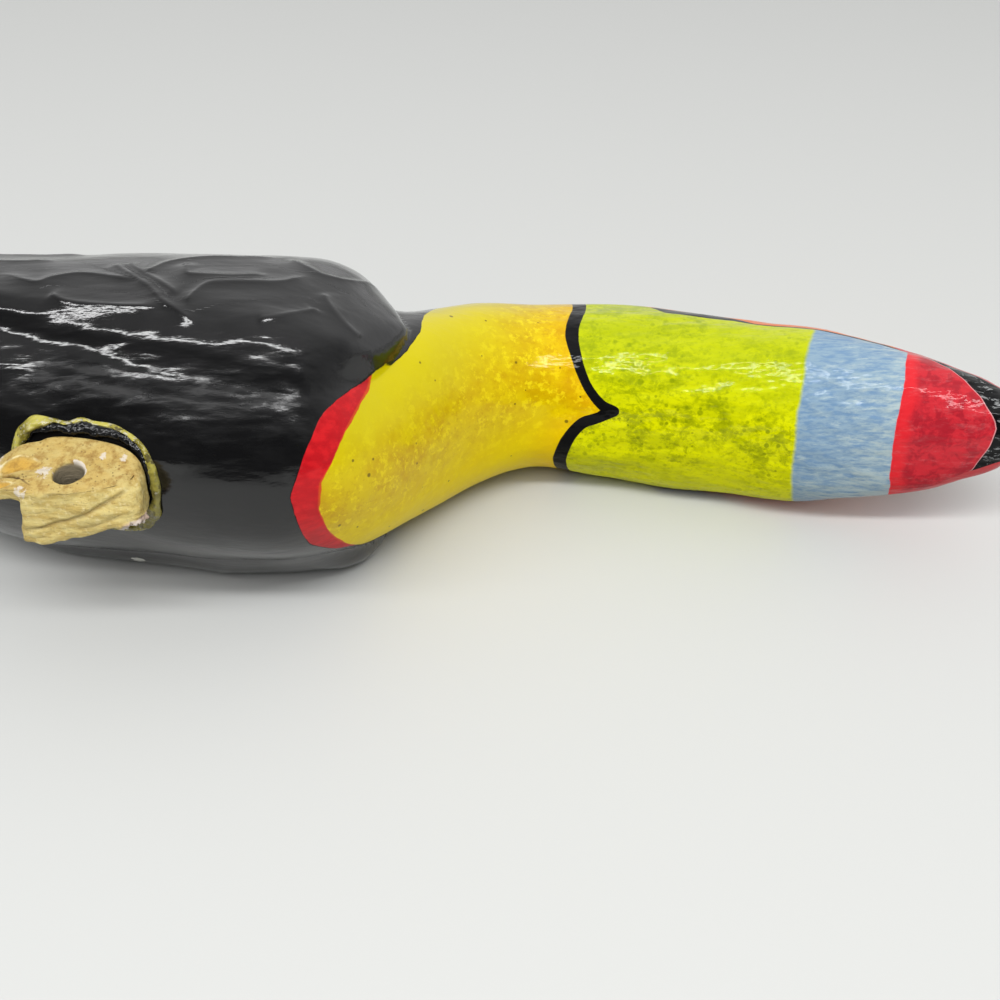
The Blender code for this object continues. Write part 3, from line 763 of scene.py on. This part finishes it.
def buildFoot():
    # the plain ring of paste, then dents and lumps along its normals: crack, nails, creases, broken corner
    f = footForm
    around = np.linspace(-np.pi, np.pi, f["roundBore"], endpoint=False)[:, None]
    across = spaced(-np.pi, np.pi, f["roundWall"] + 1, [(-np.pi / 2, 0.25, 3), (np.pi / 2, 0.25, 3)])[:-1]
    # evenly up the sole, where across alone would leave it bare
    up = np.linspace(-f["soleReach"], f["soleReach"], f["upSole"])
    across = np.sort(np.concatenate([across, np.arcsin(np.sign(up) * np.abs(up) ** (1 / f["sideFlatness"]))]))
    across = -across[None, :]
    x, out, side, radial, bulge = footGrid(around, across)
    own = np.stack([x, out, side], axis=-1)
    outerWall = eased((bulge + 0.8) / 0.3)  # 0 inside the bore
    crack, _ = lineDistance(x, out, f["toeCrack"])
    crackHere = eased((side - f["crackSide"]) / f["crackRise"])
    crackHere = crackHere * eased((f["crackEnd"] - x) / f["crackFade"]) * outerWall
    dent = f["crackDepth"] * bell(crack, f["crackWidth"]) * crackHere
    nails = np.zeros(x.shape)
    for a, o, halfLength, halfWidth, depth in f["nails"]:
        fromNail = np.hypot((x - a) / halfLength, (out - o) / halfWidth)
        hollow = eased(1.6 - 1.2 * fromNail) * eased((side - f["nailSide"]) / f["nailRise"])
        dent, nails = dent + depth * hollow, np.maximum(nails, hollow)
    crease = np.zeros(x.shape)
    onSole = eased((out - f["creaseFrom"]) / f["creaseRise"])
    for path, amount in zip(f["creases"], f["creaseShares"]):
        distance, along = lineDistance(x, side, path)
        amount = amount * onSole * fadedEnds(along, f["creaseFade"], f["creaseFade"])
        dent += amount * f["creaseDepth"] * bell(distance, f["creaseWidth"])
        crease = np.maximum(crease, amount * bell(distance, 0.5))
    lumps = sum(height * ripples(own, size, seed, stretch) for height, size, seed, stretch in f["lumps"])
    fromCorner = (own - np.array(f["brokenCorner"])) / np.array(f["brokenSize"])
    broken = eased(1.5 - np.linalg.norm(fromCorner, axis=-1))
    rough = sum(height * ripples(own, size, seed) for height, size, seed in f["brokenRipples"])
    rough = broken * (rough + f["brokenLift"])
    points = fromFootFrame(x, out, side)
    push = ((lumps + rough) * outerWall - dent) * eased((out - f["base"] - f["dentFrom"]) / f["dentRise"])
    points = points + outwardNormals(points) * push[..., None]
    piece = gridPiece("pasteFoot", points + shift, True)
    ahead = eased(np.cos(around - math.radians(f["rimTurn"])) * 2 - 0.7)
    rim = ahead * bell(radial - f["boreRadius"] - f["rimGap"], f["rimWidth"])
    rim = rim * eased((side - f["rimSide"]) / f["rimRise"])
    storeValues(piece, along=x, out=out, side=side, crease=crease, nail=nails, broken=broken, crack=crack,
                crackHere=crackHere, rim=rim, bore=eased((-bulge - 0.93) / 0.05))
    return piece


footColors = {
    "paste": rgb(204, 186, 120), "pasteDark": rgb(184, 160, 92), "pasteLight": rgb(216, 202, 150),
    "topPaste": rgb(178, 154, 92),
    "ochre": rgb(186, 154, 82), "nail": rgb(194, 152, 62), "umber": rgb(84, 62, 34),
    "plaster": rgb(208, 200, 190),
    "bore": rgb(124, 114, 94), "boreDeepShade": rgb(34, 30, 24), "stain": rgb(140, 104, 44),
    "pink": rgb(190, 166, 148),
}


def paintFoot():
    c, g = footColors, Finish("modellingPaste")
    place, drawnOut = g.place(1, 1, 1), g.place(0.3, 1, 1)
    mottle, fine = g.noise(place, 240, 4, 0.6), g.noise(place, 900, 3, 0.6)
    grain = g.noise(drawnOut, 700, 3, 0.55)
    colour = g.mix(g.step(grain, 0.35, 0.65), c["pasteDark"], c["paste"])
    colour = g.over(colour, c["pasteLight"], fine, 0.5, 0.75, 0.7)
    topFace = g.step(g.value("side"), 7.2, 9)
    colour = g.mix(g.times(topFace, 0.55), colour, c["topPaste"])
    colour = g.mix(g.times(topFace, g.step(mottle, 0.42, 0.6), 0.45), colour, c["ochre"])
    colour = g.mix(g.times(topFace, g.step(fine, 0.56, 0.66), 0.5), colour, c["pasteDark"])
    freckles, _ = g.spots(place, 1000, 0.32, 0.7)
    colour = g.mix(g.times(freckles, g.sum("ADD", g.times(topFace, 0.35), 0.25)), colour, c["umber"])
    colour = g.mix(g.times(g.value("nail"), 0.9), colour, c["nail"])
    # painted highlight: a pale ring round each nail's hollow
    nailRimHighlight = g.times(g.step(g.value("nail"), 0.5, 0.15), g.step(g.value("nail"), 0.0, 0.1))
    colour = g.mix(g.times(nailRimHighlight, g.step(mottle, 0.4, 0.6)), colour, c["pasteLight"])
    # painted shade: the creases in the sole are darkened with umber
    colour = g.mix(g.times(g.value("crease"), 0.5), colour, c["umber"])
    stain = g.step(g.noise(place, 420, 5, 0.7), 0.44, 0.66)
    stain = g.times(stain, g.sum("ADD", g.times(topFace, 0.55), 0.15))
    colour = g.mix(stain, colour, c["stain"])
    chalk = g.step(g.sum("ADD", g.value("along"), g.times(g.noise(place, 500, 3), 5)), -121, -123)
    patch = g.noise(place, 330, 3)
    colour = g.mix(g.times(chalk, g.step(patch, 0.4, 0.55), 0.8), colour, c["plaster"])
    rim = g.sum("ADD", g.value("rim"), g.times(g.noise(place, 700, 4, 0.7), 1.2))
    colour = g.over(colour, c["plaster"], rim, 1.2, 1.35, 0.85)
    for along, out, side, size in footForm["patches"]:
        squares = 0.0
        for name, middle, stretch in (("along", along, 1.2), ("out", out, 1), ("side", side, 1.8)):
            share = g.sum("DIVIDE", g.sum("SUBTRACT", g.value(name), middle), size * stretch)
            squares = g.sum("ADD", squares, g.times(share, share))
        ragged = g.sum("ADD", squares, g.times(g.noise(place, 700, 4, 0.7), 6))
        colour = g.over(colour, c["plaster"], ragged, 3.9, 3.2, 0.75)
    broken = g.step(g.value("broken"), 0.2, 0.6)
    colour = g.mix(broken, colour, g.mix(g.step(mottle, 0.4, 0.6), c["pink"], c["plaster"]))
    colour = g.mix(g.times(broken, g.step(g.noise(place, 420, 3), 0.56, 0.64)), colour, c["umber"])
    crack = g.times(g.step(g.sum("ABSOLUTE", g.value("crack")), 0.5, 0.15), g.value("crackHere"))
    colour = g.mix(crack, colour, c["umber"])
    # painted shade: the bore's wall turns near black deeper into the foot
    colour = g.mix(g.value("bore"), colour, g.mix(g.step(g.value("side"), 9, 1), c["bore"], c["boreDeepShade"]))
    normal = g.bump(g.noise(drawnOut, 800, 5, 0.65), 0.0006)
    normal = g.bump(g.noise(place, 2600, 2), 0.00008, normal)
    g.surface(Base_Color=colour, Roughness=0.62, Specular_IOR_Level=0.3, Normal=normal)
    return g.material


foot = buildFoot()
foot.data.materials.append(paintFoot())
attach(foot, "root")
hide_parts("foot")
print("foot: paste with its bore, toes and broken corner,", len(foot.data.polygons), "faces")


# The bead of glue round the foot: widths and heights by angle about the foot, 0 to the beak and 90 upwards
beadForm = {
    "along": (-123.6, -87), "sides": (-13.6, 17), "squareness": 3.4,
    "width": [(-180, 1.6), (-120, 1.4), (-75, 1.6), (-50, 3.2), (-25, 4.2), (0, 3.0), (25, 1.9), (45, 1.0),
              (90, 0.8),
              (115, 1.2), (128, 3.6), (138, 4.8), (150, 2.6), (165, 1.8), (180, 1.6)],
    "height": [(-180, 1.2), (-70, 1.2), (-35, 1.7), (0, 1.6), (40, 1.2), (90, 0.9), (118, 1.3), (136, 2.8),
               (152, 1.6),
               (180, 1.2)],
    "lip": [(-180, 0), (-30, 0), (5, 0.5), (30, 1.8), (50, 2.6), (90, 2.8), (118, 2.2), (138, 0.6),
            (150, 0), (180, 0)],
    "lipHeight": 1.3,  # the lip of black varnish inside the bead
    "lipStart": 0.8,  # how far across the glue it starts
    "widthRipple": 0.14, "heightRipple": 0.12, "routeRipple": 0.2, "rippleRadius": 18,
    # angle about the foot and spread of the darker lobe and of the band of painted pale glints
    "lobe": (-22, 36), "strip": (88, 34),
    "roundFoot": 420, "roundWall": 60,
}


def buildBead():
    # across goes round the bead's own section: outwards over the glue, inwards over the lip, back underneath
    f = beadForm
    around = np.linspace(-np.pi, np.pi, f["roundFoot"], endpoint=False)[:, None]
    across = np.linspace(-np.pi, np.pi, f["roundWall"], endpoint=False)[None, :]
    c, s, degrees = np.cos(around), np.sin(around), np.degrees(around)
    halfLength, halfWidth = (f["along"][1] - f["along"][0]) / 2, (f["sides"][1] - f["sides"][0]) / 2
    reach = roundedRectangle(c, s, halfLength, halfWidth, f["squareness"])
    ring = f["rippleRadius"] * np.concatenate([c, s, np.zeros(c.shape)], axis=-1)[:, None, :]
    width = through(degrees, f["width"]) * (1 + f["widthRipple"] * ripples(ring, 6, 31))
    height = through(degrees, f["height"]) * (1 + f["heightRipple"] * ripples(ring, 5, 32))
    lip = through(degrees, f["lip"])
    reach = reach + f["routeRipple"] * ripples(ring, 8, 33)
    span = width + lip
    inwards = (1 - np.cos(across)) / 2 * span  # from the bead's outer edge
    glue = np.sqrt(np.maximum(1 - (2 * inwards / width - 1) ** 2, 0)) * height
    lipEdge = width * f["lipStart"]
    far = np.where(lip > 0.05, (inwards - lipEdge) / np.maximum(span - lipEdge, 0.1), 0)
    varnish = np.sqrt(np.maximum(1 - (2 * far - 1) ** 2, 0)) * f["lipHeight"] * np.minimum(lip, 1)
    radial = reach + width / 2 - inwards
    x = sum(f["along"]) / 2 + radial * c
    side = sum(f["sides"]) / 2 + radial * s
    x = x + footForm["lowerSetBack"] * np.minimum(side, 0)
    rise = np.maximum(glue, varnish) * eased(np.sin(across) * 6 + 0.5)
    out = bellyOut(x, side) + footForm["gap"] * 0.3 + rise
    own = np.stack([x, out, side], axis=-1)
    out = out + eased(rise) * (0.1 * ripples(own, 2.6, 34) + 0.07 * ripples(own, 1.5, 35))
    piece = gridPiece("glueBead", fromFootFrame(x, out, side) + shift, True)
    storeValues(piece, varnish=eased((varnish - glue) / 0.25 + 0.5) * (inwards > width * 0.6),
                lobe=np.broadcast_to(bell(degrees - f["lobe"][0], f["lobe"][1]), rise.shape),
                strip=np.broadcast_to(bell(degrees - f["strip"][0], f["strip"][1]), rise.shape))
    return piece


glueColors = {
    "glue": rgb(204, 194, 92), "glueDark": rgb(140, 130, 52), "speck": rgb(98, 90, 48),
    "pale": rgb(206, 202, 180), "lobe": rgb(104, 98, 52), "varnish": rgb(11, 11, 12),
}


def paintGlue():
    c, g = glueColors, Finish("driedGlue")
    place = g.place(1, 1, 1)
    glue = g.mix(g.step(g.noise(place, 200, 3), 0.38, 0.6), c["glueDark"], c["glue"])
    glue = g.mix(g.step(g.noise(place, 520, 3), 0.56, 0.64), glue, c["speck"])
    # painted highlight: pale flecks over the glue, crowded along its top
    pale = g.sum("ADD", g.noise(place, 700, 3, 0.7), g.times(g.value("strip"), 0.14))
    glue = g.over(glue, c["pale"], pale, 0.6, 0.68, 0.75)
    glue = g.mix(g.times(g.value("lobe"), 0.75), glue, c["lobe"])
    varnish = g.step(g.sum("ADD", g.value("varnish"), g.times(g.noise(place, 500, 2), 0.5)), 0.7, 0.8)
    normal = g.bump(g.noise(place, 700, 2), 0.0004)
    g.surface(Base_Color=g.mix(varnish, glue, c["varnish"]), Roughness=0.13, IOR=1.46, Normal=normal)
    g.surface(Transmission_Weight=g.step(varnish, 0, 1, 0.25, 0))
    return g.material


glueBead = buildBead()
glueBead.data.materials.append(paintGlue())
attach(glueBead, "root")
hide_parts("glue_bead")
print("glue: bead round the foot,", len(glueBead.data.polygons), "faces")


studio = {
    "floorColor": rgb(192, 193, 191), "floorReach": 6,
    "cameraPlace": (0, -273.4, 242.7),  # in the bird's own frame, mm
    "cameraPitch": 40,
    "sensorWidth": 36,
    "focal": 1.207,  # focal length over the sensor's width
    # narrow lamp along the bird
    "stripPlace": (-450, -520, 1150), "stripSize": (2900, 120), "stripPower": 18,
    # wide soft lamp in front, without a reflection
    "fillPlace": (0, -900, 1300), "fillSize": 900, "fillPower": 12,
    "wallLight": 0.84, "roomLight": 0.07,  # brightness behind the bird, and low down in front of it
    "roomTop": -0.36, "roomGlow": 0.2,  # how far back the dark part reaches, and the brightness beyond it
    "roomEdge": 0.03,  # half the softness of the dark part's edge
    "wallStart": 0.8,  # how far back the full brightness starts
    "roomTurn": 0.35,  # the dark part reaches less far on the beak's side
    "ceilingLight": 0.42, "ceilingSide": (0, -0.25, 0.97), "ceilingFocus": 3,
    "backdrop": 0.69,
}


def buildWorld():
    # pale behind and above, darker low in front, with a soft lobe overhead: wall + ceiling * (d.up)^focus
    s = studio
    world = bpy.data.worlds.new("studioLight")
    world.use_nodes = True
    bpy.context.scene.world = world
    nodes, links = world.node_tree.nodes, world.node_tree.links

    def combine(operation, first, second):
        node = nodes.new("ShaderNodeMath")
        node.operation = operation
        for socket, value in zip(node.inputs, (first, second)):
            if isinstance(value, bpy.types.NodeSocket):
                links.new(value, socket)
            else:
                socket.default_value = value
        return node.outputs[0]

    coordinates = nodes.new("ShaderNodeTexCoord")
    back = nodes.new("ShaderNodeVectorMath")
    back.operation = "DOT_PRODUCT"
    links.new(coordinates.outputs["Generated"], back.inputs[0])
    back.inputs[1].default_value = (s["roomTurn"], 1, 0)
    steps = []
    nearEdge, farEdge = s["roomTop"] - s["roomEdge"], s["roomTop"] + s["roomEdge"]
    for low, high, dark, bright in ((nearEdge, farEdge, s["roomLight"], s["roomGlow"]),
                                    (s["roomTop"], s["wallStart"], 0, s["wallLight"] - s["roomGlow"])):
        step = nodes.new("ShaderNodeMapRange")
        step.interpolation_type = "SMOOTHSTEP"
        links.new(back.outputs["Value"], step.inputs["Value"])
        for name, value in (("From Min", low), ("From Max", high), ("To Min", dark), ("To Max", bright)):
            step.inputs[name].default_value = value
        steps.append(step.outputs["Result"])
    up = nodes.new("ShaderNodeVectorMath")
    up.operation = "DOT_PRODUCT"
    links.new(coordinates.outputs["Generated"], up.inputs[0])
    up.inputs[1].default_value = s["ceilingSide"]
    lobe = combine("POWER", combine("MAXIMUM", up.outputs["Value"], 0), s["ceilingFocus"])
    light = combine("ADD", combine("ADD", *steps), combine("MULTIPLY", lobe, s["ceilingLight"]))
    seen = nodes.new("ShaderNodeLightPath").outputs["Is Camera Ray"]
    plain = combine("MULTIPLY", seen, s["backdrop"])
    strength = combine("ADD", combine("MULTIPLY", light, combine("SUBTRACT", 1, seen)), plain)
    links.new(strength, nodes["Background"].inputs["Strength"])
    nodes["Background"].inputs["Color"].default_value = (1, 1, 1, 1)


def hangLamp(name, place, size, power):
    # a rectangular lamp across the bird, tipped to look at it
    lampData = bpy.data.lights.new(name, "AREA")
    lampData.shape = "RECTANGLE"
    lampData.size, lampData.size_y = size[0] * mm, size[1] * mm
    lampData.energy = power
    lamp = bpy.data.objects.new(name, lampData)
    lamp.location = (np.array(place) + shift) * mm
    lamp.rotation_euler = (math.atan2(-place[1], place[2]), 0, 0)
    bpy.context.scene.collection.objects.link(lamp)
    return lamp


def buildStudio():
    s = studio
    reach = s["floorReach"]
    floorMesh = bpy.data.meshes.new("floor")
    corners = [(-reach, -reach, 0), (reach, -reach, 0), (reach, reach, 0), (-reach, reach, 0)]
    floorMesh.from_pydata(corners, [], [(0, 1, 2, 3)])
    floor = bpy.data.objects.new("floor", floorMesh)
    bpy.context.scene.collection.objects.link(floor)
    g = Finish("paleTable")
    g.surface(Base_Color=s["floorColor"], Roughness=0.5, Specular_IOR_Level=0.3)
    floorMesh.materials.append(g.material)
    buildWorld()
    hangLamp("stripLamp", s["stripPlace"], s["stripSize"], s["stripPower"])
    fill = hangLamp("fillLamp", s["fillPlace"], (s["fillSize"], s["fillSize"]), s["fillPower"])
    fill.visible_glossy = False
    cameraData = bpy.data.cameras.new("camera")
    cameraData.sensor_width = s["sensorWidth"]
    cameraData.lens = s["sensorWidth"] * s["focal"]
    camera = bpy.data.objects.new("camera", cameraData)
    camera.location = (np.array(s["cameraPlace"]) + shift) * mm
    camera.rotation_euler = (math.radians(90 - s["cameraPitch"]), 0, 0)
    bpy.context.scene.collection.objects.link(camera)
    bpy.context.scene.camera = camera
    bpy.context.scene.view_settings.view_transform = "Standard"


buildStudio()
print("studio: floor, world, lamps and camera")
